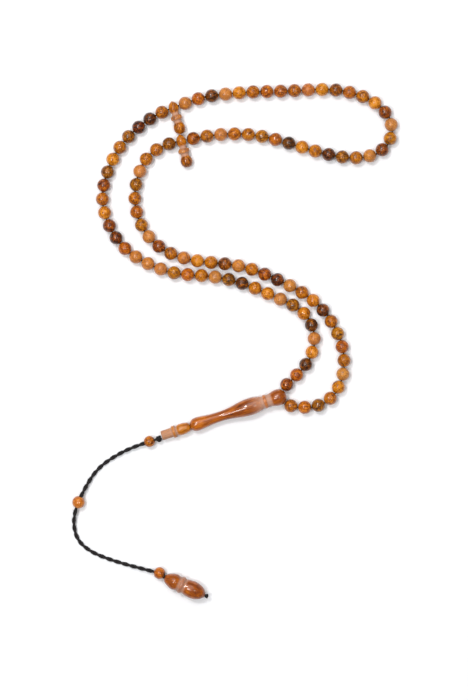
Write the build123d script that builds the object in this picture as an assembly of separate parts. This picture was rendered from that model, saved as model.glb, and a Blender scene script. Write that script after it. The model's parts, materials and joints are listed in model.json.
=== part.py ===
from build123d import *
import math
import os

# A string of 99 prayer beads in three sections of 33, laid flat: two separators part the
# sections, and both ends of the string pass through a long turned bead, the imame, which
# carries a cord tail with three small beads and a turned end piece.
# Millimetres. +Z is up and Z = 0 is the surface that the string lies on.

# ---- Main beads and their string
BEAD_RADIUS = 4.0
BEADS_PER_SECTION = 33
BEAD_BORE_RADIUS = 0.9
COUNTERSINK = 0.25
STRING_RADIUS = 0.5
STRING_BEND = 1.5  # length of string, each side of a corner, that the corner's arc takes up
PIVOT_GAP = 0.3  # string left out each side of a corner where the loop is hinged
SEPARATOR_SPACING = 7.45  # centre of a separator to the centre of the bead beside it
IMAME_BEAD_GAP = 0.35
STRING_OVERHANG = 0.1  # of the string's ends past the surfaces of the first and last beads
STRAIGHT_ENOUGH = 0.15  # degrees of bend below which the string runs straight on
ROUTE_SAMPLES = 6000
SPACING_LIMIT = 2.2  # largest bead spacing tried, in bead radii
SPACING_TOLERANCE = 1e-7

# ---- Imame and tepelik, which share one axis
IMAME_HEAD_RADIUS = 4.95
IMAME_HEAD_HEIGHT = 5.72
IMAME_LENGTH = 55.4  # centre of the head to the rear end
IMAME_HEADING = 198.3  # degrees from +X, seen from above
IMAME_DROP = 1.6  # degrees that the axis falls towards the rear
HEAD_BORE_RADIUS = 1.0
NOSE_FLAT_RADIUS = 1.2
MAIN_BORE_RADIUS = 1.5
STRAND_INSET = 0.25  # of each string end's start inside the surface of the head
STRAND_END_GAP = 0.1  # from each string end to the end of the tepelik
STRAND_OFFSET = 0.6  # of each string end from the axis, where the two run side by side
TEPELIK_START = 55.7  # from the centre of the imame's head
TEPELIK_LENGTH = 17.7

# ---- Separators
SEPARATOR_HEADINGS = (-73.4, -75.1)
SEPARATOR_DROP = 1.4
SEPARATOR_END = 16.3  # from the bulb, where the string passes, to the end
SEPARATOR_BORE_LENGTH = 10.0

# ---- Tail
CORD_RADIUS = 1.2
TAIL_BORE_RADIUS = 1.45
KNOT_RADIUS = 2.1
END_KNOT_RADIUS = 1.4
UPPER_BEAD_RADIUS = 3.4
MIDDLE_BEAD_RADIUS = 3.75
LOWER_BEAD_RADIUS = 3.55
END_PIECE_LENGTH = 26.0
END_PIECE_HEIGHT = 5.3
CORD_CLEARANCE = 0.05
CORD_INSET = 0.4  # of a cord's end inside the mouth of the bead that it ends in
BEND_CLEARANCE = 0.2  # between the middle bead and the round end of the cord that bends there
TANGENT_SHARE = 0.45  # share of the shorter run that a corner's arc takes up

# Moves every plan position, so that the loop's box is centred on the origin.
SHIFT = Vector(-0.2, -0.28, 0)

# The string's route, seen from above: out of the imame's head, round the loop and back.
LOOP_ROUTE = [
    (19.0, -81.0), (24.2, -73.3), (30.2, -67.5), (35.6, -61.2), (39.4, -53.5), (40.5, -45.0),
    (38.5, -37.0), (33.5, -30.0), (27.0, -25.5), (19.5, -22.0), (4.5, -15.5), (-11.0, -10.5),
    (-27.0, -8.2), (-43.5, -6.5), (-59.0, -1.0), (-72.5, 7.8), (-82.0, 21.5), (-86.2, 38.0),
    (-83.0, 54.2), (-75.5, 69.0), (-63.8, 81.2), (-50.0, 89.8), (-42.3, 92.8), (-27.5, 98.0),
    (-11.0, 100.6), (5.5, 101.8), (21.5, 102.2), (38.0, 103.0), (54.0, 102.8), (70.0, 98.8),
    (77.5, 94.8), (83.5, 88.8), (86.8, 81.0), (85.5, 72.7), (80.0, 66.3), (72.5, 63.2),
    (56.0, 63.0), (40.0, 66.7), (24.5, 71.3), (8.3, 75.3), (-8.0, 76.6), (-24.0, 75.2),
    (-39.1, 72.4), (-46.5, 70.6), (-54.0, 67.0), (-60.0, 61.5), (-64.0, 53.8), (-66.8, 38.0),
    (-62.5, 21.3), (-51.5, 8.6), (-36.0, 2.0), (-19.0, -0.5), (-2.5, -2.8), (12.5, -8.0),
    (27.5, -15.0), (41.0, -24.0), (51.5, -37.0), (57.5, -52.0), (57.5, -68.0), (54.5, -75.8),
    (49.5, -82.2), (42.5, -86.0), (34.5, -87.0), (26.8, -86.2), (19.0, -81.0),
]

# The tail cord's route. The first part runs from the knot, through the upper small bead and
# into the middle one. The second part starts at the bend just past the middle bead, and these
# are its points from there to the lower bead.
UPPER_CORD_ROUTE = [
    (-52.4, -105.8, 4.0), (-67.9, -110.4, 2.6), (-82.9, -118.6, 1.2), (-91.0, -125.8, 1.2),
    (-97.2, -136.0, 3.4), (-100.6, -143.9, 3.75),
]
LOWER_CORD_ROUTE = [
    (-103.9, -157.4, 2.0), (-101.6, -166.6, 1.2), (-94.6, -173.1, 1.2), (-84.5, -177.6, 1.2),
    (-73.0, -181.2, 1.2), (-60.6, -184.3, 2.4), (-52.1, -186.3, 3.55),
]
UPPER_BEAD_AT = 6.0  # from the knot's centre, along the cord
END_PIECE_FRONT = Vector(-48.9, -188.7, END_PIECE_HEIGHT)
END_PIECE_HEADING = -24.0

# Main beads with a node of their own. The others share nodes, a stretch of string in each.
SINGLE_BEADS = [*range(1, 17), *range(84, 100)]
BEAD_GROUPS = [
    (17, 25), (26, 33), (34, 40), (41, 50), (51, 59), (60, 66), (67, 75), (76, 83),
]
# Beads after which the far loop is hinged, along its two arms.
FAR_UPPER_ARM_END = 40
FAR_LOWER_ARM_START = 60


def heading(degrees, drop=0.0):
    """Unit vector at this plan angle from +X, falling by drop degrees."""
    a, b = math.radians(degrees), math.radians(drop)
    return Vector(math.cos(a) * math.cos(b), math.sin(a) * math.cos(b), -math.sin(b))


def place(solid, origin, direction):
    """The solid with its own origin moved to origin and its Z axis turned to direction."""
    return Plane(origin=origin, z_dir=direction) * solid


def lathe(*curves):
    """Solid of revolution about Z. The curves run end to end; their points are (radius, height)."""
    start, end = curves[0] @ 0, curves[-1] @ 1
    closing = Polyline(end, (0, end.Y), (0, start.Y), start)
    outline = Curve() + [*curves, closing]
    return revolve(make_face(Plane.XZ * outline), axis=Axis.Z)


# ---- Stations: the imame's head, every bead and separator in turn, and the head again

def route_samples():
    curve = Spline(*[(x, y, BEAD_RADIUS) for x, y in LOOP_ROUTE])
    return [(curve @ (i / ROUTE_SAMPLES)) + SHIFT for i in range(ROUTE_SAMPLES + 1)]


def head_spacing():
    """Plan distance from the imame's head to the first bead, which lies lower than the head."""
    reach = IMAME_HEAD_RADIUS + BEAD_RADIUS + IMAME_BEAD_GAP
    return math.sqrt(reach**2 - (IMAME_HEAD_HEIGHT - BEAD_RADIUS) ** 2)


def walk(samples, steps):
    """Points on the sampled route, each one step from the last in a straight line."""
    points, k = [samples[0]], 0
    for step in steps:
        here = points[-1]
        while k < len(samples) and (samples[k] - here).length < step:
            k += 1
        if k == len(samples):
            return None
        before, after = samples[k - 1], samples[k]
        near, far = (before - here).length, (after - here).length
        points.append(before + (after - before) * ((step - near) / (far - near)))
    return points


def stations():
    """Every station's centre, with the bead spacing that just fills the route."""
    samples = route_samples()
    between = [SEPARATOR_SPACING, SEPARATOR_SPACING]
    low, high = 2 * BEAD_RADIUS, SPACING_LIMIT * BEAD_RADIUS
    while high - low > SPACING_TOLERANCE:
        spacing = (low + high) / 2
        section = [spacing] * (BEADS_PER_SECTION - 1)
        points = walk(samples, [head_spacing(), *section, *between, *section, *between, *section])
        if points and (samples[-1] - points[-1]).length > head_spacing():
            low, found = spacing, points
        else:
            high = spacing
    head = Vector(samples[0].X, samples[0].Y, IMAME_HEAD_HEIGHT)
    return [head, *found[1:], head], low


CENTRES, BEAD_SPACING = stations()
FIRST_SEPARATOR = BEADS_PER_SECTION + 1
SECOND_SEPARATOR = 2 * BEADS_PER_SECTION + 2
LAST = len(CENTRES) - 2


def station_of(bead):
    """Station of a bead, numbered 1 to 99 along the string."""
    return bead + (bead > BEADS_PER_SECTION) + (bead > 2 * BEADS_PER_SECTION)


def chord(i):
    """Level unit vector from station i to the next."""
    along = CENTRES[i + 1] - CENTRES[i]
    return Vector(along.X, along.Y, 0).normalized()


def turn_at(i):
    """Angle in radians by which the string turns left at station i."""
    i = min(max(i, 2), LAST - 1)  # at the imame's two neighbours it turns as at the next bead
    before, after = chord(i - 1), chord(i)
    return math.atan2(before.X * after.Y - before.Y * after.X, before.dot(after))


def corner(i):
    """Where the string bends in the gap between stations i and i + 1: a little outside the chord."""
    half_bend = (turn_at(i) + turn_at(i + 1)) / 4
    gap = CENTRES[i + 1] - CENTRES[i]
    outward = Vector(gap.Y, -gap.X, 0) * (math.tan(half_bend) / 2)
    return CENTRES[i] + gap / 2 + outward


def bore_direction(i):
    """The way the string runs through station i, from corner to corner."""
    start = CENTRES[i] if i == 1 else corner(i - 1)
    end = CENTRES[i] if i == LAST else corner(i)
    return (end - start).normalized()


# ---- Tubes

def turn(points, i):
    """Angle in degrees by which the route turns at point i."""
    return (points[i] - points[i - 1]).get_angle(points[i + 1] - points[i])


def tube(points, radii, radius, name):
    """A round tube along straight runs joined by tangent arcs, checked against its length."""
    path = FilletPolyline(*points, radius=radii)
    section = Plane(origin=path @ 0, z_dir=path % 0) * Circle(radius)
    solid = sweep(section, path=path)
    share = solid.volume / (math.pi * radius**2 * path.length)
    print(f"{name}: {path.length:.1f} mm, volume over section times length {share:.4f}")
    return solid


def string_between(first, last, name, start=None, end=None):
    """Main string through stations first to last, bent only in the gaps between them."""
    points = [corner(first - 1) + bore_direction(first) * PIVOT_GAP if start is None else start]
    for i in range(first, last):
        points.append(corner(i))
    points.append(corner(last) - bore_direction(last) * PIVOT_GAP if end is None else end)
    kept = [points[0]]
    for i in range(1, len(points) - 1):
        if (points[i] - kept[-1]).get_angle(points[i + 1] - points[i]) > STRAIGHT_ENOUGH:
            kept.append(points[i])
    kept.append(points[-1])
    radii = [
        STRING_BEND / math.tan(math.radians(turn(kept, i) / 2)) for i in range(1, len(kept) - 1)
    ]
    return tube(kept, radii, STRING_RADIUS, name)


def free_cord(route, name):
    """Tail cord: each corner's arc is as large as its two runs allow."""
    points = [Vector(*p) + SHIFT for p in route]
    radii = []
    for i in range(1, len(points) - 1):
        shorter = min((points[i] - points[i - 1]).length, (points[i + 1] - points[i]).length)
        radii.append(TANGENT_SHARE * shorter / math.tan(math.radians(turn(points, i) / 2)))
    print(name, "bend radii, mm:", [round(r, 1) for r in radii])
    return tube(points, radii, CORD_RADIUS, name)


# ---- Turned pieces, each about its own Z axis

def round_bead(radius, bore, countersink=COUNTERSINK):
    """A round bead with its bore along Z, the mouths countersunk."""
    rim = bore + countersink
    height = math.sqrt(radius**2 - rim**2)
    wall_top = height - countersink
    edges = [
        ThreePointArc((rim, -height), (radius, 0), (rim, height)),
        Polyline((rim, height), (bore, wall_top), (bore, -wall_top), (rim, -height)),
    ]
    return revolve(make_face(Plane.XZ * (Curve() + edges)), axis=Axis.Z)


def imame_body():
    """Round head, ringed neck, long waisted body and rear bulb, from the head's centre at 0."""
    head = IMAME_HEAD_RADIUS
    front = -math.sqrt(head**2 - NOSE_FLAT_RADIUS**2)
    midway = head * math.sqrt(0.5)
    return lathe(
        ThreePointArc((NOSE_FLAT_RADIUS, front), (midway, -midway), (head, 0)),
        Spline((head, 0), (4.7, 2.4), (3.95, 4.7), tangents=[(0, 1), (-0.5, 1)]),
        Polyline((3.95, 4.7), (3.65, 5.2), (3.65, 6.9), (3.95, 7.2), (4.25, 7.7), (4.25, 8.7)),
        Polyline((4.25, 8.7), (3.95, 9.2), (3.55, 9.5), (3.6, 10.0)),
        Spline(
            (3.6, 10.0), (4.25, 11.8), (4.9, 14.4), (5.2, 18.0), (4.9, 22.2), (4.15, 26.4),
            (3.35, 31.2), (2.97, 37.0), (3.2, 43.0), (3.8, 48.0), (4.08, 51.0), (3.6, 53.6),
            (1.9, IMAME_LENGTH),
            tangents=[(0.4, 1), (-1, 0.45)],
        ),
    )


def tepelik_body():
    """Barrel, thin flange and straight neck, from the barrel's end at 0."""
    return lathe(
        Spline(
            (1.9, 0), (2.75, 1.0), (3.4, 4.2), (3.35, 6.6), (2.75, 8.2),
            tangents=[(1, 0.5), (-0.6, 1)],
        ),
        Polyline((2.75, 8.2), (2.75, 8.7), (3.5, 9.0), (3.75, 9.5), (3.75, 10.5), (3.5, 11.0)),
        Polyline((3.5, 11.0), (2.8, 11.3), (2.85, 12.2)),
        Spline((2.85, 12.2), (2.78, 14.8), (2.85, TEPELIK_LENGTH - 0.3)),
        Line((2.85, TEPELIK_LENGTH - 0.3), (2.55, TEPELIK_LENGTH)),
    )


def separator_body():
    """Pointed bulb, collar and ball, from the bulb's centre at 0."""
    return lathe(
        Spline((0.3, -4.0), (1.3, -3.3), (2.35, -2.3), (3.05, 0.0), (2.8, 1.8), (2.1, 3.5)),
        Polyline((2.1, 3.5), (2.1, 4.4), (2.7, 4.8), (3.3, 5.4), (3.5, 6.0), (3.5, 6.8), (3.3, 7.3)),
        Polyline((3.3, 7.3), (2.7, 7.8), (2.3, 8.1), (2.3, 8.8), (2.5, 9.4)),
        Spline(
            (2.5, 9.4), (3.6, 12.9), (1.9, 15.8), (0.6, SEPARATOR_END),
            tangents=[(0.8, 1), (-1, 0.2)],
        ),
    )


def end_piece_body():
    """Front bulb, ringed waist and longer rear bulb, from the front face at 0."""
    return lathe(
        Spline((1.6, 0), (3.5, 2.4), (4.9, 6.6), (4.3, 9.2), tangents=[(1, 0.6), (-0.5, 1)]),
        Polyline((4.3, 9.2), (4.35, 9.6), (4.9, 10.0), (5.2, 10.5), (5.2, 11.4), (4.9, 11.9)),
        Polyline((4.9, 11.9), (4.4, 12.3), (4.4, 12.8)),
        Spline(
            (4.4, 12.8), (5.05, 15.6), (5.25, 18.6), (4.75, 21.4), (3.5, 24.1),
            (1.6, END_PIECE_LENGTH),
            tangents=[(0.5, 1), (-1, 0.45)],
        ),
    )


# ---- Where the turned pieces lie

HEAD = CENTRES[0]
IMAME_AXIS = heading(IMAME_HEADING, IMAME_DROP)
TEPELIK_FRONT = HEAD + IMAME_AXIS * TEPELIK_START
TEPELIK_END = TEPELIK_FRONT + IMAME_AXIS * TEPELIK_LENGTH
SEPARATOR_STATIONS = (FIRST_SEPARATOR, SECOND_SEPARATOR)
KNOT = Vector(*UPPER_CORD_ROUTE[0]) + SHIFT
UPPER_CORD_WAY = (Vector(*UPPER_CORD_ROUTE[1]) - Vector(*UPPER_CORD_ROUTE[0])).normalized()
UPPER_BEAD = KNOT + UPPER_CORD_WAY * UPPER_BEAD_AT
MIDDLE_BEAD = Vector(*UPPER_CORD_ROUTE[-1]) + SHIFT
MIDDLE_WAY = (Vector(*UPPER_CORD_ROUTE[-1]) - Vector(*UPPER_CORD_ROUTE[-2])).normalized()
BEND_POINT = MIDDLE_BEAD + MIDDLE_WAY * (MIDDLE_BEAD_RADIUS + CORD_RADIUS + BEND_CLEARANCE)
LOWER_BEAD = Vector(*LOWER_CORD_ROUTE[-1]) + SHIFT
LOWER_WAY = (Vector(*LOWER_CORD_ROUTE[-1]) - Vector(*LOWER_CORD_ROUTE[-2])).normalized()
END_FRONT = END_PIECE_FRONT + SHIFT
END_AXIS = heading(END_PIECE_HEADING)
END_KNOT = END_FRONT + END_AXIS * (END_PIECE_LENGTH + END_KNOT_RADIUS + CORD_CLEARANCE)


def mouth_way(bead_station):
    """From the head's centre to a bead beside it, which is also the way of that string bore."""
    return (CENTRES[bead_station] - HEAD).normalized()


def make_imame():
    from_head = (Align.CENTER, Align.CENTER, Align.MIN)
    main_bore = Cylinder(MAIN_BORE_RADIUS, IMAME_LENGTH + IMAME_HEAD_RADIUS, align=from_head)
    branch = Cylinder(HEAD_BORE_RADIUS, 2 * IMAME_HEAD_RADIUS, align=from_head)
    body = place(imame_body(), HEAD, IMAME_AXIS) - place(main_bore, HEAD, IMAME_AXIS)
    body -= Pos(HEAD) * Sphere(MAIN_BORE_RADIUS)
    for station in (1, LAST):
        body -= place(branch, HEAD, mouth_way(station))
    return body


def imame_strand(station, side, name):
    """One end of the string: in at its mouth in the head, then beside the axis to the tepelik's end."""
    across = Vector(-IMAME_AXIS.Y, IMAME_AXIS.X, 0).normalized() * (side * STRAND_OFFSET)
    points = [
        HEAD + mouth_way(station) * (IMAME_HEAD_RADIUS - STRAND_INSET),
        HEAD + across,
        TEPELIK_END + across - IMAME_AXIS * STRAND_END_GAP,
    ]
    radius = STRING_BEND / math.tan(math.radians(turn(points, 1) / 2))
    return tube(points, [radius], STRING_RADIUS, name)


def make_tepelik():
    bore = Cylinder(MAIN_BORE_RADIUS, 3 * TEPELIK_LENGTH)
    return place(tepelik_body() - bore, TEPELIK_FRONT, IMAME_AXIS)


def separator_axis(k):
    return heading(SEPARATOR_HEADINGS[k], SEPARATOR_DROP)


def make_separator(k):
    station = SEPARATOR_STATIONS[k]
    body = place(separator_body(), CENTRES[station], separator_axis(k))
    bore = Cylinder(BEAD_BORE_RADIUS, SEPARATOR_BORE_LENGTH)
    return body - place(bore, CENTRES[station], bore_direction(station))


def make_end_piece():
    bore = Cylinder(TAIL_BORE_RADIUS, 3 * END_PIECE_LENGTH)
    return place(end_piece_body() - bore, END_FRONT, END_AXIS)


def make_upper_cord():
    """From the knot's surface to the lower mouth of the middle bead."""
    end = tuple(MIDDLE_BEAD - SHIFT + MIDDLE_WAY * (MIDDLE_BEAD_RADIUS - CORD_INSET))
    cord = free_cord(UPPER_CORD_ROUTE[:-1] + [end], "tail_cord_upper")
    return cord - Pos(KNOT) * Sphere(KNOT_RADIUS + CORD_CLEARANCE)


def make_lower_cord():
    """From a round end at the bend point, through the lower bead to its far mouth."""
    start = tuple(BEND_POINT - SHIFT)
    end = tuple(LOWER_BEAD - SHIFT + LOWER_WAY * (LOWER_BEAD_RADIUS - CORD_INSET))
    route = [start] + LOWER_CORD_ROUTE[:-1] + [end]
    return free_cord(route, "tail_cord_lower") + Pos(BEND_POINT) * Sphere(CORD_RADIUS)


def make_end_cord():
    """Straight through the end piece to the end knot."""
    cord = Cylinder(CORD_RADIUS, END_PIECE_LENGTH, align=(Align.CENTER, Align.CENTER, Align.MIN))
    return place(cord, END_FRONT, END_AXIS)


# ---- Nodes

def bead_at(number):
    i = station_of(number)
    return place(round_bead(BEAD_RADIUS, BEAD_BORE_RADIUS), CENTRES[i], bore_direction(i))


def strings():
    """The main string, in five stretches that part at the far loop's hinges and in the imame."""
    beyond = BEAD_RADIUS + STRING_OVERHANG
    start = CENTRES[1] - bore_direction(1) * beyond
    end = CENTRES[LAST] + bore_direction(LAST) * beyond
    upper_end = station_of(FAR_UPPER_ARM_END)
    lower_start = station_of(FAR_LOWER_ARM_START)
    first, second = SEPARATOR_STATIONS
    return {
        "string_first_strand": string_between(1, first, "string_first_strand", start=start),
        "string_far_upper": string_between(first + 1, upper_end, "string_far_upper"),
        "string_far_end": string_between(upper_end + 1, lower_start - 1, "string_far_end"),
        "string_far_lower": string_between(lower_start, second - 1, "string_far_lower"),
        "string_last_strand": string_between(second, LAST, "string_last_strand", end=end),
        "string_in_imame": Compound(
            children=[imame_strand(1, -1, "strand 1"), imame_strand(LAST, 1, "strand 2")]
        ),
    }


def tail():
    return {
        "tail_knot": Pos(KNOT) * Sphere(KNOT_RADIUS),
        "tail_bead_upper": place(
            round_bead(UPPER_BEAD_RADIUS, TAIL_BORE_RADIUS), UPPER_BEAD, UPPER_CORD_WAY
        ),
        "tail_bead_middle": place(
            round_bead(MIDDLE_BEAD_RADIUS, TAIL_BORE_RADIUS), MIDDLE_BEAD, MIDDLE_WAY
        ),
        "tail_bead_lower": place(
            round_bead(LOWER_BEAD_RADIUS, TAIL_BORE_RADIUS), LOWER_BEAD, LOWER_WAY
        ),
        "tail_cord_upper": make_upper_cord(),
        "tail_cord_lower": make_lower_cord(),
        "tail_cord_end": make_end_cord(),
        "tail_end_piece": make_end_piece(),
        "tail_end_knot": Pos(END_KNOT) * Sphere(END_KNOT_RADIUS),
    }


def nodes():
    made = {f"bead_{n:02d}": bead_at(n) for n in SINGLE_BEADS}
    for first, last in BEAD_GROUPS:
        group = [bead_at(n) for n in range(first, last + 1)]
        made[f"beads_{first}_to_{last}"] = Compound(children=group)
    made["imame"] = make_imame()
    made["tepelik"] = make_tepelik()
    made["separator_1"] = make_separator(0)
    made["separator_2"] = make_separator(1)
    return {**made, **strings(), **tail()}


def main():
    os.makedirs("parts", exist_ok=True)
    print(f"bead spacing {BEAD_SPACING:.4f} mm")
    for name, shape in nodes().items():
        export_step(shape, f"parts/{name}.step")


if __name__ == "__main__":
    main()
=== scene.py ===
import json
import math
import random

import bmesh
import bpy
import numpy as np
from mathutils import Matrix, Vector

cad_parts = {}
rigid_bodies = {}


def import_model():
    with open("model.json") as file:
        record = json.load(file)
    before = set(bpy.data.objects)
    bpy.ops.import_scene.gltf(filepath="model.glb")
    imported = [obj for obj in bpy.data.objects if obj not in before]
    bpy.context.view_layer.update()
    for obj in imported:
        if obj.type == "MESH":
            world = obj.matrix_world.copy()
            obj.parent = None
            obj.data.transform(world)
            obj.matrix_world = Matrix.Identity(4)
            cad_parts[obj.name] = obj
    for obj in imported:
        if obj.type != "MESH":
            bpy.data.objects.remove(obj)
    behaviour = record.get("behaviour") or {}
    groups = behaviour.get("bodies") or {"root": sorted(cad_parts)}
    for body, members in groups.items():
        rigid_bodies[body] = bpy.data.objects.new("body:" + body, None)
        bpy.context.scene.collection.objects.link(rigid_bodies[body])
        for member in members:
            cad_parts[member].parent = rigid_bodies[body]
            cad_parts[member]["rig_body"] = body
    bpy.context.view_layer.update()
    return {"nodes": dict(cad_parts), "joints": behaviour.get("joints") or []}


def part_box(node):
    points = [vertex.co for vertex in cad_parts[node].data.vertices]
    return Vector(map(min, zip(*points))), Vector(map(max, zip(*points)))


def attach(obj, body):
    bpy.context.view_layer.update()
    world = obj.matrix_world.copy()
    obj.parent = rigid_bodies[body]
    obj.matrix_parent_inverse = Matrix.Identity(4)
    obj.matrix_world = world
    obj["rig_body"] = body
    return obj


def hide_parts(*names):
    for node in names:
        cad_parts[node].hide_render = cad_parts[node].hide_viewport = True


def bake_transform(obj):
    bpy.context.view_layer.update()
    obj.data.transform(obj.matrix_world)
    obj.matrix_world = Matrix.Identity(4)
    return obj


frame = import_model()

MM = 0.001

# ---- Camera: straight down, with its picture's centre and long side on the surface, in metres
PICTURE_CENTRE = (-0.0077, -0.0530)
PICTURE_LONG_SIDE = 0.4190
LENS = 100.0
SENSOR = 36.0
MID_HEIGHT = 0.004

# ---- Beads and turned pieces, in millimetres; a bore is a radius
BEAD_RADIUS = 4.0
BEAD_BORE = 0.9
TAIL_BORE = 1.45
MAIN_BORE = 1.5
HEAD_BORE = 1.0
LIP = 0.15
LIP_STEPS = 4
MOST_FLAT = 0.008  # how far a bead may be out of round, as shares of its radius
MOST_LOBED = 0.006
IMAME_HEAD_RADIUS = 4.95
SEPARATOR_BULB_RADIUS = 3.05
FLARE_DEPTH = 0.45
FLARE_WIDTH = 0.32
GRAIN_SPREAD = 60  # how far a piece's place in the grain may be from its middle, each way
SINGLES = [*range(1, 17), *range(84, 100)]
GROUPS = [(17, 25), (26, 33), (34, 40), (41, 50), (51, 59), (60, 66), (67, 75), (76, 83)]

# ---- The beads' looks, each bead's kind judged one by one
DARK = {3, 6, 12, 22, 31, 32, 36, 56, 59, 85, 89}
DUSKY = {1, 8, 13, 23, 26, 27, 30, 45, 49, 52, 55, 66, 67, 71, 76, 81, 84, 97}
BRIGHT = {4, 7, 10, 24, 28, 38, 44, 48, 58, 79, 88, 95}
PALE = {5, 9, 14, 18, 19, 20, 34, 37, 43, 50, 53, 64, 70, 75, 78, 82, 86, 94}
REDDISH = {1, 2, 16, 21, 22, 23, 26, 31, 35, 40, 41, 43, 46, 49, 52, 60, 66, 73, 76, 84, 85, 92, 98}
OLIVE = {8, 13, 17, 27, 30, 51, 55, 59, 61, 67, 71, 74, 91, 94, 97}

# ---- Tail cord, in metres: the CAD tubes' routes, which the cords here follow on into the beads
UPPER_ROUTE = [
    (-0.0526, -0.10608, 0.0040), (-0.0681, -0.11068, 0.0026), (-0.0831, -0.11888, 0.0012),
    (-0.0912, -0.12608, 0.0012), (-0.0974, -0.13628, 0.0034), (-0.1008, -0.14418, 0.00375),
]
LOWER_ROUTE = [
    (-0.1041, -0.15768, 0.0020), (-0.1018, -0.16688, 0.0012), (-0.0948, -0.17338, 0.0012),
    (-0.0847, -0.17788, 0.0012), (-0.0732, -0.18148, 0.0012), (-0.0608, -0.18458, 0.0024),
    (-0.0523, -0.18658, 0.00355),
]
TWIST_PITCH = 10.0 * MM
STRAND_RADIUS = 0.66 * MM
STRAND_OFFSET = 0.56 * MM
PLY_PITCH = 1.9 * MM
PLY_LOBE = 0.05
STEP = 0.25 * MM
KNOT_RADIUS = 2.1 * MM
END_KNOT_RADIUS = 1.4 * MM
KNOT_STEPS = 150
MIDDLE_MOUTH = 3.3 * MM  # from a bead's centre to where a stretch of cord stops in its mouth
LOWER_MOUTH = 3.1 * MM
END_CORD_START = 3.45 * MM  # from the lower bead's centre, so that the end stretch can swing
END_CORD_STOPS = (1.5 * MM, 14 * MM, 26.6 * MM)  # along the end piece, from its front

# ---- Surface and light
FLOOR_HALF = 3.0
FLOOR_DROP = 0.02 * MM
FLOOR_COLOUR = (0.875, 0.880, 0.895, 1)
SKY_COLOUR = (0.95, 0.97, 1.0, 1)
SKY_STRENGTH = 0.22
SOFTBOX_DISTANCE = 1.6
LAMP_DISTANCE = 1.5

JOINTS = {j["name"]: j for j in frame["joints"]}


def joint_place(name):
    """A joint's point and axis."""
    return Vector(JOINTS[name]["pos_m"]), Vector(JOINTS[name]["axis"]).normalized()


def facing(way):
    """The turn that takes Z to this way."""
    return way.to_track_quat("Z", "Y").to_matrix()


def stood(place, way):
    """The move that takes the origin to a place and Z to a way."""
    return Matrix.Translation(place) @ facing(way).to_4x4()


def distances(points):
    """How far along the points each one is."""
    steps = np.linalg.norm(np.diff(points, axis=0), axis=1)
    return np.concatenate([[0], np.cumsum(steps)])


def ring_quads(rings, around, closed):
    """The faces between rings of vertices, and from the last ring to the first if closed."""
    faces = []
    for i in range(rings if closed else rings - 1):
        j = (i + 1) % rings
        for k in range(around):
            n = (k + 1) % around
            faces.append((i * around + k, i * around + n, j * around + n, j * around + k))
    return faces


# ---- Camera

def make_camera():
    """A camera over the picture's centre, as high as makes its long side fill the frame."""
    data = bpy.data.cameras.new("camera")
    data.lens = LENS
    data.sensor_width = SENSOR
    camera = bpy.data.objects.new("camera", data)
    bpy.context.scene.collection.objects.link(camera)
    distance = PICTURE_LONG_SIDE * LENS / SENSOR
    camera.location = (*PICTURE_CENTRE, MID_HEIGHT + distance)
    bpy.context.scene.camera = camera


# ---- Meshes

def mesh_object(name, vertices, faces, body=None):
    mesh = bpy.data.meshes.new(name)
    mesh.from_pydata([tuple(v) for v in vertices], [], faces)
    mesh.update()
    made = bpy.data.objects.new(name, mesh)
    bpy.context.scene.collection.objects.link(made)
    if body:
        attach(made, body)
    return made


def outward(mesh):
    """Turn every face outward."""
    bm = bmesh.new()
    bm.from_mesh(mesh)
    bmesh.ops.recalc_face_normals(bm, faces=bm.faces)
    bm.to_mesh(mesh)
    bm.free()


def smooth(mesh, sharp_degrees):
    """Shade smooth, but for edges sharper than this."""
    mesh.polygons.foreach_set("use_smooth", [True] * len(mesh.polygons))
    mesh.set_sharp_from_angle(angle=math.radians(sharp_degrees))


def turned_parts(outline, closed, segments):
    """Vertices and faces of an outline of (radius, height) turned about Z."""
    rings = len(outline)
    vertices = []
    for radius, height in outline:
        for k in range(segments):
            a = 2 * math.pi * k / segments
            vertices.append((radius * math.cos(a), radius * math.sin(a), height))
    faces = ring_quads(rings, segments, closed)
    if not closed:
        faces.append(tuple(range(segments)))
        faces.append(tuple(reversed(range((rings - 1) * segments, rings * segments))))
    return np.array(vertices), faces


def curve_through(points, per_span=7):
    """Catmull-Rom curve through the points."""
    ends = [2 * np.array(points[0]) - np.array(points[1])]
    tail = [2 * np.array(points[-1]) - np.array(points[-2])]
    p = ends + [np.array(q, float) for q in points] + tail
    made = []
    for i in range(1, len(p) - 2):
        for k in range(per_span):
            t = k / per_span
            a, b, c, d = p[i - 1], p[i], p[i + 1], p[i + 2]
            made.append(
                0.5 * (2 * b + (c - a) * t + (2 * a - 5 * b + 4 * c - d) * t**2
                       + (3 * b - a - 3 * c + d) * t**3)
            )
    made.append(p[-2])
    return [tuple(q) for q in made]


def softened(points, cut=0.12):
    """Straight runs with each corner cut by a small round."""
    made = [points[0]]
    for i in range(1, len(points) - 1):
        here = np.array(points[i])
        for other in (points[i - 1], points[i + 1]):
            way = np.array(other) - here
            length = np.linalg.norm(way)
            made.append(tuple(here + way * (min(cut, 0.4 * length) / length)))
    made.append(points[-1])
    return made


def arc(radius, start, end, count):
    """Part of a circle round the origin: (radius, height) at these angles from the -Z pole."""
    made = []
    for k in range(count + 1):
        a = start + (end - start) * k / count
        made.append((radius * math.sin(a), -radius * math.cos(a)))
    return made


# ---- Wood

def attribute(mesh, name, values, kind="FLOAT"):
    made = mesh.attributes.new(name, kind, "POINT")
    key = "vector" if kind == "FLOAT_VECTOR" else "value"
    made.data.foreach_set(key, np.asarray(values, np.float32).ravel())


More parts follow.
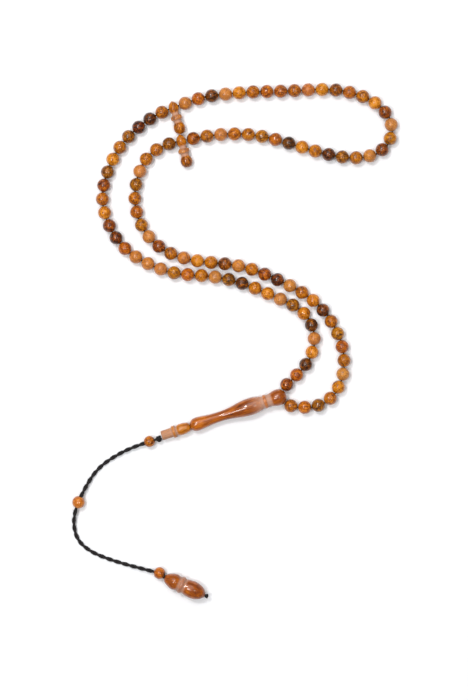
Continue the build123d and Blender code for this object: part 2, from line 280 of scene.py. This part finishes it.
def node(tree, kind, inputs=None, **settings):
    """A node with these inputs, each a socket to link from or a value."""
    made = tree.nodes.new(kind)
    for key, value in settings.items():
        setattr(made, key, value)
    for key, value in (inputs or {}).items():
        if isinstance(value, bpy.types.NodeSocket):
            tree.links.new(value, made.inputs[key])
        else:
            made.inputs[key].default_value = value
    return made


def ramp(tree, factor, stops):
    """A colour ramp with these (place, colour) stops."""
    made = tree.nodes.new("ShaderNodeValToRGB")
    tree.links.new(factor, made.inputs["Fac"])
    elements = made.color_ramp.elements
    while len(elements) < len(stops):
        elements.new(0.5)
    for element, (place, colour) in zip(elements, stops):
        element.position = place
        element.color = (*colour, 1) if len(colour) == 3 else colour
    return made.outputs["Color"]


def arithmetic(tree, operation, a, b):
    return node(tree, "ShaderNodeMath", {0: a, 1: b}, operation=operation).outputs[0]


def mixed(tree, factor, a, b):
    """Colour a with this much of colour b; each may be a socket or a value."""
    made = tree.nodes.new("ShaderNodeMix")
    made.data_type = "RGBA"
    for socket, value in ((made.inputs[0], factor), (made.inputs[6], a), (made.inputs[7], b)):
        if isinstance(value, bpy.types.NodeSocket):
            tree.links.new(value, socket)
        else:
            socket.default_value = value
    return made.outputs[2]


WOOD = [
    (0.00, (0.024, 0.007, 0.003)),
    (0.20, (0.085, 0.022, 0.006)),
    (0.42, (0.250, 0.066, 0.010)),
    (0.62, (0.450, 0.138, 0.015)),
    (0.82, (0.620, 0.215, 0.026)),
    (1.00, (0.760, 0.330, 0.080)),
]
PALE_WOOD = (0.540, 0.235, 0.100, 1)
CARVED_WOOD = (0.480, 0.315, 0.250, 1)
PORE = (0.022, 0.008, 0.004, 1)
LIGHT_FIBRE = (0.740, 0.350, 0.110, 1)
ALONG_GRAIN = (1.0, 1.0, 0.34)  # figure is longer along the grain than across it
CLOUD = (0.32, 3.0, 0.8)  # each noise's cells per millimetre, detail and distortion
STREAK = (1.05, 3.0, 1.2)
FLECK = (2.1, 3.0, 0.5)
STRAND = (1.5, 1.0, 0.2)
HUE_SHIFT = 0.010


def wood(name, coat, figure=1.0, carved_finish=False):
    """Wood with this strength of figure; its grain's place and its looks are mesh attributes."""
    material = bpy.data.materials.new(name)
    material.use_nodes = True
    tree = material.node_tree
    shader = tree.nodes["Principled BSDF"]
    grain = node(tree, "ShaderNodeAttribute", attribute_name="grain").outputs["Vector"]
    tone, pale, cast, carved = (
        node(tree, "ShaderNodeAttribute", attribute_name=kind).outputs["Fac"]
        for kind in ("tone", "pale", "cast", "carved")
    )
    along = node(
        tree, "ShaderNodeMapping", {"Vector": grain, "Scale": ALONG_GRAIN}
    ).outputs["Vector"]

    def noise(vector, scale, detail, distortion):
        settings = {"Vector": vector, "Scale": scale, "Detail": detail, "Distortion": distortion}
        return node(tree, "ShaderNodeTexNoise", settings).outputs["Fac"]

    cloud = noise(grain, *CLOUD)
    streak = noise(along, *STREAK)
    fleck = noise(along, *FLECK)
    strand = noise(along, *STRAND)
    level = tone
    for source, strength in ((cloud, 1.00), (streak, 1.45), (fleck, 0.85)):
        centred = arithmetic(tree, "SUBTRACT", source, 0.5)
        level = arithmetic(tree, "ADD", level, arithmetic(tree, "MULTIPLY", centred, strength * figure))
    colour = ramp(tree, level, WOOD)
    colour = mixed(tree, arithmetic(tree, "MULTIPLY", pale, 0.6), colour, PALE_WOOD)
    fibres = ramp(tree, strand, [(0.58, (0, 0, 0)), (0.68, (1, 1, 1))])
    fibres = arithmetic(tree, "MULTIPLY", fibres, tone)
    colour = mixed(tree, arithmetic(tree, "MULTIPLY", fibres, 0.85 * figure), colour, LIGHT_FIBRE)
    pores = ramp(tree, fleck, [(0.30, (1, 1, 1)), (0.42, (0, 0, 0))])
    colour = mixed(tree, arithmetic(tree, "MULTIPLY", pores, 0.5 * figure), colour, PORE)
    hue = arithmetic(tree, "SUBTRACT", 0.5, arithmetic(tree, "MULTIPLY", cast, HUE_SHIFT))
    colour = node(
        tree, "ShaderNodeHueSaturation", {"Hue": hue, "Saturation": 1.06, "Color": colour}
    ).outputs["Color"]
    colour = mixed(tree, arithmetic(tree, "MULTIPLY", carved, 0.8), colour, CARVED_WOOD)
    tree.links.new(colour, shader.inputs["Base Color"])
    rough = arithmetic(tree, "MULTIPLY", streak, 0.20)
    rough = arithmetic(tree, "ADD", rough, 0.46 if carved_finish else 0.30)
    tree.links.new(rough, shader.inputs["Roughness"])
    bump = node(
        tree, "ShaderNodeBump",
        {"Height": fleck, "Strength": 0.35 if carved_finish else 0.10, "Distance": 0.05 * MM},
    )
    tree.links.new(bump.outputs["Normal"], shader.inputs["Normal"])
    shader.inputs["Specular IOR Level"].default_value = 0.18
    shader.inputs["Coat Weight"].default_value = coat
    shader.inputs["Coat Roughness"].default_value = 0.05
    shader.inputs["Coat IOR"].default_value = 1.4
    return material


def fibre(name, colour, roughness):
    """Matt thread, mottled finely all over."""
    material = bpy.data.materials.new(name)
    material.use_nodes = True
    tree = material.node_tree
    shader = tree.nodes["Principled BSDF"]
    place = node(tree, "ShaderNodeTexCoord").outputs["Object"]
    fine = node(
        tree, "ShaderNodeTexNoise",
        {"Vector": place, "Scale": 2600.0, "Detail": 3.0, "Roughness": 0.7},
    ).outputs["Fac"]
    low = tuple(0.45 * c for c in colour)
    high = tuple(2.3 * c for c in colour)
    tree.links.new(ramp(tree, fine, [(0.3, low), (0.75, high)]), shader.inputs["Base Color"])
    bump = node(tree, "ShaderNodeBump", {"Height": fine, "Strength": 0.6, "Distance": 0.08 * MM})
    tree.links.new(bump.outputs["Normal"], shader.inputs["Normal"])
    shader.inputs["Roughness"].default_value = roughness
    shader.inputs["Specular IOR Level"].default_value = 0.2
    return material


# ---- Cords and knots

def spline_points(route):
    """Evenly spaced points on the smooth line that has the route as its control points."""
    data = bpy.data.curves.new("route", "CURVE")
    data.dimensions = "3D"
    data.resolution_u = 40
    line = data.splines.new("NURBS")
    line.points.add(len(route) - 1)
    for point, place in zip(line.points, route):
        point.co = (*place, 1)
    line.order_u = 3
    line.use_endpoint_u = True
    holder = bpy.data.objects.new("route", data)
    bpy.context.scene.collection.objects.link(holder)
    bpy.context.view_layer.update()
    mesh = bpy.data.meshes.new_from_object(holder)
    raw = np.array([v.co for v in mesh.vertices])
    bpy.data.objects.remove(holder)
    bpy.data.curves.remove(data)
    bpy.data.meshes.remove(mesh)
    lengths = distances(raw)
    wanted = np.linspace(0, lengths[-1], max(8, int(lengths[-1] / STEP)))
    return np.stack([np.interp(wanted, lengths, raw[:, i]) for i in range(3)], axis=1)


def frames_along(points, closed=False):
    """At each point, the way on and two directions across it that don't twist."""
    if closed:
        ways = np.roll(points, -1, axis=0) - np.roll(points, 1, axis=0)
    else:
        ways = np.gradient(points, axis=0)
    ways /= np.linalg.norm(ways, axis=1)[:, None]
    side = np.cross(ways[0], [0.0, 0.0, 1.0])
    if np.linalg.norm(side) < 1e-3:
        side = np.cross(ways[0], [1.0, 0.0, 0.0])
    sides = []
    for way in ways:
        side = side - way * (side @ way)
        side /= np.linalg.norm(side)
        sides.append(side)
    sides = np.array(sides)
    return ways, sides, np.cross(ways, sides)


def tube_parts(points, radius, around=18, plies=3, closed=False):
    """A strand along the points, its section slightly lobed by plies that wind round it."""
    _, sides, ups = frames_along(points, closed)
    travelled = distances(points)
    vertices = []
    for i, here in enumerate(points):
        wind = 2 * math.pi * travelled[i] / PLY_PITCH
        for k in range(around):
            a = 2 * math.pi * k / around
            r = radius * (1 + PLY_LOBE * math.cos(plies * a + wind))
            vertices.append(here + r * (math.cos(a) * sides[i] + math.sin(a) * ups[i]))
    count = len(points)
    faces = ring_quads(count, around, closed)
    if not closed:
        faces.append(tuple(reversed(range(around))))
        faces.append(tuple(range((count - 1) * around, count * around)))
    return vertices, faces


def twisted_cord(name, points):
    """Two strands laid round each other along the points."""
    _, sides, ups = frames_along(points)
    turn = 2 * math.pi * distances(points) / TWIST_PITCH
    vertices, faces = [], []
    for start in (0.0, math.pi):
        offset = np.cos(turn + start)[:, None] * sides + np.sin(turn + start)[:, None] * ups
        more, joined = tube_parts(points + STRAND_OFFSET * offset, STRAND_RADIUS)
        faces.extend(tuple(len(vertices) + i for i in face) for face in joined)
        vertices.extend(more)
    made = mesh_object(name, vertices, faces)
    outward(made.data)
    smooth(made.data, 60)
    return made


def knot(name, centre, way, radius, body):
    """A tight overhand knot: one strand along a trefoil, about the cord's own line."""
    strand = 0.36 * radius
    major, minor = 0.40 * radius, 0.24 * radius
    points = []
    for k in range(KNOT_STEPS):
        t = 2 * math.pi * k / KNOT_STEPS
        ring = major + minor * math.cos(3 * t)
        points.append((ring * math.cos(2 * t), ring * math.sin(2 * t), 1.5 * minor * math.sin(3 * t)))
    vertices, faces = tube_parts(np.array(points), strand, closed=True)
    turn = facing(way)
    made = mesh_object(name, [turn @ Vector(v) + centre for v in vertices], faces)
    outward(made.data)
    smooth(made.data, 60)
    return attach(made, body)


# ---- Reading the CAD beads

def solids_of(name):
    """Each solid of a CAD node as an array of its vertices, in the same order on every run."""
    bm = bmesh.new()
    bm.from_mesh(frame["nodes"][name].data)
    bmesh.ops.remove_doubles(bm, verts=bm.verts, dist=1e-6)
    reached, found = set(), []
    for first in bm.verts:
        if first in reached:
            continue
        reached.add(first)
        queue, island = [first], []
        while queue:
            here = queue.pop()
            island.append(here.co[:])
            for edge in here.link_edges:
                other = edge.other_vert(here)
                if other not in reached:
                    reached.add(other)
                    queue.append(other)
        found.append(np.array(island))
    bm.free()
    return found


def bead_place(vertices):
    """Centre, bore direction and radius of a CAD bead, from the two rings of its bore wall."""
    middle = (vertices.min(0) + vertices.max(0)) / 2
    apart = np.linalg.norm(vertices - middle, axis=1)
    rings = vertices[apart < apart.max() - 0.15 * MM]
    away = rings - middle
    axis = np.linalg.svd(away, full_matrices=False)[2][0]
    axis *= np.sign(axis[np.argmax(abs(axis))])  # the fit leaves the sign open
    high, low = rings[away @ axis > 0].mean(0), rings[away @ axis < 0].mean(0)
    return Vector((high + low) / 2), Vector(high - low).normalized(), apart.max() / MM


def main_beads():
    """{number: (node, body, centre, bore direction)}, each group counted on from the bead before."""
    places = {}
    for n in SINGLES:
        body = f"bead_{n:02d}"
        places[n] = (body, body, *bead_place(solids_of(body)[0])[:2])
    for first, last in GROUPS:
        name = f"beads_{first}_to_{last}"
        body = frame["nodes"][name]["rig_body"]
        left = [bead_place(s)[:2] for s in solids_of(name)]
        before = places[first - 1][2]
        for n in range(first, last + 1):
            left.sort(key=lambda place: (place[0] - before).length)
            places[n] = (name, body, *left.pop(0))
            before = places[n][2]
    return places


# ---- Beads

def bead_outline(radius, bore):
    """Half section of a round bead with rounded mouths, as a closed outline."""
    mouth = math.asin((bore + LIP) / radius)
    outside = arc(radius, mouth, math.pi - mouth, 30)
    top = outside[-1][1]
    lip = []
    for k in range(1, LIP_STEPS + 1):
        a = 0.5 * math.pi * k / LIP_STEPS
        lip.append((bore + LIP * (1 - math.sin(a)), top - LIP * (1 - math.cos(a))))
    below = [(r, -z) for r, z in reversed(lip)]
    return outside + lip + below


def bead_parts(rng, radius, bore, segments=52):
    """A bead about its own Z axis: its round points in millimetres, which place the grain, its
    points in metres, a hair out of round as a turned bead is, and its faces."""
    outline = bead_outline(radius, bore)
    vertices, faces = turned_parts(outline, True, segments)
    flat = 1 - rng.uniform(0.0, MOST_FLAT)
    lobes, phase = rng.uniform(0.0, MOST_LOBED), rng.uniform(0, 2 * math.pi)
    around = np.arctan2(vertices[:, 1], vertices[:, 0])
    swell = 1 - lobes * (0.5 + 0.5 * np.cos(2 * around + phase))
    shaped = vertices * np.stack([swell, swell, np.full_like(swell, flat)], axis=1)
    return vertices, shaped * MM, faces


def random_turn(rng):
    axis = Vector((rng.gauss(0, 1), rng.gauss(0, 1), rng.gauss(0, 1))).normalized()
    return np.array(Matrix.Rotation(rng.uniform(0, 2 * math.pi), 3, axis))


def bead_look(rng, number):
    """(tone, paleness, cast) of a main bead; a positive cast is reddish and a negative one olive."""
    if number in REDDISH:
        cast = rng.uniform(0.6, 1.0)
    elif number in OLIVE:
        cast = rng.uniform(-1.0, -0.6)
    else:
        cast = rng.uniform(-0.3, 0.3)
    if number in DARK:
        return rng.uniform(0.14, 0.20), 0.0, cast
    if number in DUSKY:
        return rng.uniform(0.31, 0.39), 0.0, cast
    if number in BRIGHT:
        return rng.uniform(0.68, 0.75), 0.0, cast
    if number in PALE:
        return rng.uniform(0.56, 0.66), rng.uniform(0.6, 1.0), cast
    return rng.uniform(0.46, 0.58), rng.uniform(0.0, 0.2), cast


def bead_object(name, beads, bore, body, material):
    """One object of these beads, each (radius, centre, way, (tone, paleness, cast), seed)."""
    vertices, faces, grain, looks = [], [], [], []
    for radius, centre, way, look, seed in beads:
        rng = random.Random(seed)
        local, shaped, more = bead_parts(rng, radius, bore)
        turn = np.array(facing(way))
        offset = [rng.uniform(-GRAIN_SPREAD, GRAIN_SPREAD) for _ in range(3)]
        start = len(vertices)
        vertices.extend(shaped @ turn.T + np.array(centre))
        faces.extend(tuple(start + i for i in face) for face in more)
        grain.extend(local @ random_turn(rng).T + offset)
        looks.extend([look] * len(local))
    made = mesh_object(name, vertices, faces)
    outward(made.data)
    smooth(made.data, 50)
    attribute(made.data, "grain", grain, "FLOAT_VECTOR")
    for kind, values in zip(("tone", "pale", "cast"), zip(*looks)):
        attribute(made.data, kind, values)
    attribute(made.data, "carved", [0.0] * len(vertices))
    made.data.materials.append(material)
    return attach(made, body)


def make_main_beads(places, material):
    grouped = [(f"bead_{n:02d}", [n]) for n in SINGLES]
    grouped += [(f"beads_{a}_to_{b}", list(range(a, b + 1))) for a, b in GROUPS]
    for name, numbers in grouped:
        beads = []
        for n in numbers:
            look = bead_look(random.Random(900 + n), n)
            beads.append((BEAD_RADIUS, places[n][2], places[n][3], look, 100 + n))
        made = bead_object(f"wood_{name}", beads, BEAD_BORE, places[numbers[0]][1], material)
        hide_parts(name)


def make_tail_beads(material):
    looks = {"upper": (0.50, 0.0, 0.3), "middle": (0.72, 0.4, 0.7), "lower": (0.50, 0.2, 0.8)}
    made = {}
    for seed, (which, look) in enumerate(looks.items()):
        name = f"tail_bead_{which}"
        centre, way, radius = bead_place(solids_of(name)[0])
        piece = bead_object(
            f"wood_{name}", [(radius, centre, way, look, 300 + seed)], TAIL_BORE, name, material
        )
        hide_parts(name)
        made[which] = piece
    return made


# ---- Turned pieces: outlines in millimetres, (radius, height) along each piece's own axis

def imame_outline():
    head = arc(IMAME_HEAD_RADIUS, 0.01, math.pi / 2, 20)
    shoulder = curve_through([(IMAME_HEAD_RADIUS, 0.0), (4.7, 2.4), (3.95, 4.7)])
    neck = softened([
        (3.95, 4.7), (3.65, 5.2), (3.65, 6.9), (3.95, 7.2), (4.25, 7.7), (4.25, 8.7),
        (3.95, 9.2), (3.55, 9.5), (3.6, 10.0),
    ])
    body = curve_through([
        (3.6, 10.0), (4.25, 11.8), (4.9, 14.4), (5.2, 18.0), (4.9, 22.2), (4.15, 26.4),
        (3.35, 31.2), (2.97, 37.0), (3.2, 43.0), (3.8, 48.0), (4.08, 51.0), (3.6, 53.6),
        (1.9, 55.4),
    ])
    inside = [(1.62, 55.3), (MAIN_BORE, 55.0), (MAIN_BORE, 0.3), (1.1, -1.0), (0.05, -1.5)]
    return head + shoulder[1:] + neck[1:] + body[1:] + inside


def tepelik_outline():
    barrel = curve_through([(1.9, 0), (2.75, 1.0), (3.4, 4.2), (3.35, 6.6), (2.75, 8.2)])
    flange = softened([
        (2.75, 8.2), (2.75, 8.7), (3.5, 9.0), (3.75, 9.5), (3.75, 10.5), (3.5, 11.0),
        (2.8, 11.3), (2.85, 12.2),
    ])
    neck = curve_through([(2.85, 12.2), (2.78, 14.8), (2.85, 17.4)])
    inside = [(2.55, 17.7), (1.6, 17.7), (MAIN_BORE, 17.5), (MAIN_BORE, 0.2), (1.6, 0.0)]
    return barrel + flange[1:] + neck[1:] + inside


def separator_outline():
    tip = curve_through([
        (0.3, -4.0), (1.3, -3.3), (2.35, -2.3), (SEPARATOR_BULB_RADIUS, 0.0), (2.8, 1.8),
        (2.1, 3.5),
    ])
    collar = softened([
        (2.1, 3.5), (2.1, 4.4), (2.7, 4.8), (3.3, 5.4), (3.5, 6.0), (3.5, 6.8), (3.3, 7.3),
        (2.7, 7.8), (2.3, 8.1), (2.3, 8.8), (2.5, 9.4),
    ])
    ball = curve_through([
        (2.5, 9.4), (3.2, 10.7), (3.58, 12.4), (3.2, 14.3), (2.1, 15.7), (0.6, 16.3),
    ])
    return [(0.05, -4.05)] + tip + collar[1:] + ball[1:] + [(0.05, 16.33)]


def end_piece_outline():
    front = curve_through([(1.6, 0), (2.7, 1.0), (3.5, 2.4), (4.5, 4.6), (4.9, 6.6), (4.3, 9.2)])
    waist = softened([
        (4.3, 9.2), (4.35, 9.6), (4.9, 10.0), (5.2, 10.5), (5.2, 11.4), (4.9, 11.9),
        (4.4, 12.3), (4.4, 12.8),
    ])
    rear = curve_through([
        (4.4, 12.8), (5.05, 15.6), (5.25, 18.6), (4.75, 21.4), (3.5, 24.1), (1.6, 26.0),
    ])
    inside = [(1.48, 25.9), (TAIL_BORE, 25.7), (TAIL_BORE, 0.3), (1.5, 0.1)]
    return front + waist[1:] + rear[1:] + inside


def cutter(name, reach, radius, surface, both_ways):
    """A bore along Z that flares where it comes out of a surface this far from its middle."""
    wide = radius + FLARE_WIDTH
    flare = [(radius, surface - FLARE_DEPTH), (radius + 0.10, surface - 0.22), (wide, surface)]
    up = flare + [(wide, reach)]
    start = [(r, -z) for r, z in reversed(up)] if both_ways else [(radius, 0.0)]
    vertices, faces = turned_parts(start + up, False, 40)
    made = mesh_object(name, vertices * MM, faces)
    outward(made.data)
    return made


def turned_piece(name, outline, closed, place, way, body, seed, zones, cast, wood_kind,
                 cuts=(), stretch=0.35):
    """A piece turned about its axis, bored by the cutters, with its wood set out along it.

    zones is [(height, tone, paleness, carving)], and carving over a half is left unpolished.
    stretch is how quickly the grain changes along the axis, against 1 across it.
    """
    vertices, faces = turned_parts(outline, closed, 88)
    made = mesh_object(name, vertices * MM, faces)
    outward(made.data)
    made.matrix_world = stood(place, way)
    bpy.context.view_layer.update()
    for tool in cuts:
        bore = made.modifiers.new("bore", "BOOLEAN")
        bore.operation = "DIFFERENCE"
        bore.solver = "EXACT"
        bore.object = tool
    if cuts:
        seen = made.evaluated_get(bpy.context.evaluated_depsgraph_get())
        mesh = bpy.data.meshes.new_from_object(seen)
        made.modifiers.clear()
        made.data = mesh
        for tool in cuts:
            bpy.data.objects.remove(tool)
    mesh = made.data
    local = np.array([v.co for v in mesh.vertices]) / MM
    rng = random.Random(seed)
    offset = np.array([rng.uniform(-GRAIN_SPREAD, GRAIN_SPREAD) for _ in range(3)])
    height = local[:, 2]
    heights, tones, pales, carvings = zip(*zones)
    attribute(mesh, "grain", local * [1, 1, stretch] + offset, "FLOAT_VECTOR")
    attribute(mesh, "tone", np.interp(height, heights, tones))
    attribute(mesh, "pale", np.interp(height, heights, pales))
    attribute(mesh, "cast", [cast] * len(local))
    carving = np.interp(height, heights, carvings)
    attribute(mesh, "carved", carving)
    smooth(mesh, 40)
    mesh.materials.clear()
    mesh.materials.append(wood_kind)
    mesh.materials.append(CARVED)
    for face in mesh.polygons:
        face.material_index = int(np.mean([carving[v] for v in face.vertices]) > 0.5)
    mesh.transform(made.matrix_world)
    made.matrix_world = Matrix.Identity(4)
    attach(made, body)
    return made


def make_imame(places):
    head = joint_place("imame_swing")[0]
    axis = joint_place("spin_tepelik")[1]
    cuts = []
    for n in (1, 99):
        tool = cutter(f"mouth_{n}", 9.0, HEAD_BORE, IMAME_HEAD_RADIUS, False)
        way = (places[n][2] - head).normalized()
        tool.matrix_world = stood(head, way)
        cuts.append(tool)
    zones = [
        (-5.0, 0.44, 0.0, 0.0), (3.6, 0.46, 0.1, 0.0), (4.6, 0.55, 0.6, 0.85), (7.1, 0.55, 0.6, 0.85),
        (7.4, 0.62, 0.1, 0.2), (8.9, 0.62, 0.1, 0.2), (9.2, 0.55, 0.7, 0.9), (10.4, 0.55, 0.8, 0.8),
        (12.2, 0.52, 0.7, 0.42), (15.5, 0.47, 0.25, 0.12), (19.0, 0.43, 0.0, 0.0),
        (34.0, 0.46, 0.1, 0.0), (44.0, 0.48, 0.2, 0.0), (49.0, 0.58, 0.0, 0.0), (56.0, 0.5, 0.0, 0.0),
    ]
    made = turned_piece(
        "turned_imame", imame_outline(), False, head, axis, "imame", 41, zones, 0.7, GLOSSY,
        cuts, stretch=0.18
    )
    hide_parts("imame")


def make_tepelik():
    place, way = joint_place("spin_tepelik")
    zones = [
        (0.0, 0.58, 0.0, 0.0), (7.4, 0.62, 0.1, 0.0), (8.3, 0.6, 0.6, 0.8), (9.1, 0.6, 0.6, 0.7),
        (9.6, 0.60, 0.2, 0.1), (10.5, 0.60, 0.2, 0.1), (11.1, 0.6, 0.7, 0.8), (12.4, 0.60, 0.5, 0.54),
        (17.7, 0.62, 0.5, 0.51),
    ]
    made = turned_piece(
        "turned_tepelik", tepelik_outline(), True, place, way, "tepelik", 42, zones, -0.1, GLOSSY
    )
    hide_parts("tepelik")


def make_separators():
    for k, ball_tone in ((1, 0.56), (2, 0.44)):
        name = f"separator_{k}"
        pivot, bore = joint_place(f"{name}_lift")
        vertices = np.concatenate(solids_of(name))
        apart = np.linalg.norm(vertices - np.array(pivot), axis=1)
        end = vertices[apart > apart.max() - 0.02 * MM].mean(0)
        way = (Vector(end) - pivot).normalized()
        tool = cutter(f"bore_{k}", 5.0, BEAD_BORE, SEPARATOR_BULB_RADIUS, True)
        tool.matrix_world = stood(pivot, bore)
        zones = [
            (-4.1, 0.54, 0.1, 0.0), (2.6, 0.56, 0.2, 0.0), (3.4, 0.58, 0.7, 0.8),
            (4.6, 0.58, 0.7, 0.8), (5.3, 0.64, 0.3, 0.2), (7.2, 0.64, 0.3, 0.2),
            (7.9, 0.6, 0.7, 0.8), (9.2, 0.6, 0.6, 0.7), (10.0, ball_tone, 0.0, 0.0),
            (16.4, ball_tone, 0.0, 0.0),
        ]
        made = turned_piece(
            f"turned_{name}", separator_outline(), False, pivot, way, name, 42 + k, zones,
            0.1, POLISHED, [tool], stretch=0.7
        )
        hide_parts(name)


def make_end_piece():
    place, way = joint_place("spin_end_piece")
    zones = [
        (0.0, 0.44, 0.0, 0.0), (8.0, 0.46, 0.1, 0.0), (9.0, 0.40, 0.5, 0.55), (9.9, 0.40, 0.5, 0.52),
        (10.6, 0.42, 0.4, 0.3), (11.4, 0.42, 0.4, 0.3), (12.0, 0.40, 0.5, 0.6),
        (12.9, 0.40, 0.5, 0.52), (14.0, 0.43, 0.1, 0.0), (26.0, 0.43, 0.0, 0.0),
    ]
    made = turned_piece(
        "turned_end_piece", end_piece_outline(), True, place, way, "tail_end_piece", 46, zones,
        0.7, GLOSSY, stretch=0.6
    )
    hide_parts("tail_end_piece")
    return made


# ---- Tail


def make_tail(end_piece):
    upper_knot = joint_place("cord_swing")[0]
    upper_way = (Vector(UPPER_ROUTE[1]) - Vector(UPPER_ROUTE[0])).normalized()
    knot_piece = knot("cord_knot", upper_knot, upper_way, KNOT_RADIUS, "tail_upper")
    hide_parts("tail_knot")

    middle = joint_place("spin_tail_bead_middle")[0]
    bend = joint_place("cord_bend")[0]
    far_mouth = middle + (bend - middle).normalized() * MIDDLE_MOUTH
    upper_points = spline_points([*UPPER_ROUTE, tuple(far_mouth)])
    upper = twisted_cord("twisted_cord_upper", upper_points)
    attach(upper, "tail_upper")
    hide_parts("tail_cord_upper")

    inside = middle + (bend - middle) * 0.3
    lower_bead, lower_bore = joint_place("spin_tail_bead_lower")
    front, way = joint_place("spin_end_piece")
    if lower_bore @ way < 0:
        lower_bore = -lower_bore
    lower_mouth = lower_bead + lower_bore * LOWER_MOUTH
    lower_points = spline_points([tuple(inside), tuple(bend), *LOWER_ROUTE, tuple(lower_mouth)])
    lower = twisted_cord("twisted_cord_lower", lower_points)
    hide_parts("tail_cord_lower")
    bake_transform(lower)

    start = lower_bead + (front - lower_bead).normalized() * END_CORD_START
    end_route = [start, *(front + way * stop for stop in END_CORD_STOPS)]
    end = twisted_cord("twisted_cord_end", spline_points([tuple(place) for place in end_route]))
    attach(end, "tail_end")
    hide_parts("tail_cord_end")
    low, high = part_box("tail_end_knot")
    end_knot = knot("cord_end_knot", (low + high) / 2, way, END_KNOT_RADIUS, "tail_end")
    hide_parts("tail_end_knot")
    for piece in (knot_piece, upper, lower, end, end_knot):
        piece.data.materials.append(CORD)


def dress_string():
    """The main string shows only in the gaps, so it keeps its CAD shape."""
    for name, thing in frame["nodes"].items():
        if name.startswith("string"):
            thing.data.materials.clear()
            thing.data.materials.append(STRING)


# ---- Making the surface and the light

def make_floor():
    corners = [(FLOOR_HALF * x, FLOOR_HALF * y, 0) for x, y in ((-1, -1), (1, -1), (1, 1), (-1, 1))]
    floor = mesh_object("floor", corners, [(0, 1, 2, 3)])
    floor.location.z = -FLOOR_DROP
    material = bpy.data.materials.new("pale_floor")
    material.use_nodes = True
    shader = material.node_tree.nodes["Principled BSDF"]
    shader.inputs["Base Color"].default_value = FLOOR_COLOUR
    shader.inputs["Roughness"].default_value = 0.7
    shader.inputs["Specular IOR Level"].default_value = 0.2
    floor.data.materials.append(material)


def lamp(name, way, distance, size, power, along=(1, 0, 0)):
    """A lamp this way from the middle of the picture, facing it, with its long side along."""
    data = bpy.data.lights.new(name, "AREA")
    data.shape = "RECTANGLE"
    data.size, data.size_y = size
    data.energy = power
    back = Vector(way).normalized()
    across = back.cross(Vector(along)).normalized()
    light = bpy.data.objects.new(name, data)
    light.matrix_world = Matrix((across.cross(back), across, back)).transposed().to_4x4()
    light.location = Vector((*PICTURE_CENTRE, 0)) + back * distance
    bpy.context.scene.collection.objects.link(light)


def make_light():
    tail_way = joint_place("spin_tepelik")[1]
    lamp("softbox", (-0.12, 0.50, 0.86), SOFTBOX_DISTANCE, (1.2, 1.2), 10.5)
    lamp("key", (-0.31, -0.10, 0.94), LAMP_DISTANCE, (0.42, 0.26), 8.5, tail_way)
    lamp("left_lamp", (-0.30, 0.34, 0.89), LAMP_DISTANCE, (0.12, 0.12), 6.0)
    lamp("right_lamp", (0.30, -0.08, 0.95), LAMP_DISTANCE, (0.12, 0.12), 4.2)
    world = bpy.data.worlds.new("studio")
    world.use_nodes = True
    background = world.node_tree.nodes["Background"]
    background.inputs["Color"].default_value = SKY_COLOUR
    background.inputs["Strength"].default_value = SKY_STRENGTH
    bpy.context.scene.world = world
    bpy.context.scene.view_settings.view_transform = "Standard"


make_camera()
POLISHED = wood("polished_wood", 0.65)
GLOSSY = wood("glossy_wood", 1.0, figure=0.45)
CARVED = wood("carved_wood", 0.0, carved_finish=True)
CORD = fibre("black_cord", (0.012, 0.010, 0.010), 0.7)
STRING = fibre("dark_string", (0.035, 0.018, 0.010), 0.8)

bead_places = main_beads()
make_main_beads(bead_places, POLISHED)
tail_beads = make_tail_beads(POLISHED)
make_imame(bead_places)
make_tepelik()
make_separators()
make_tail(make_end_piece())
dress_string()
make_floor()
make_light()
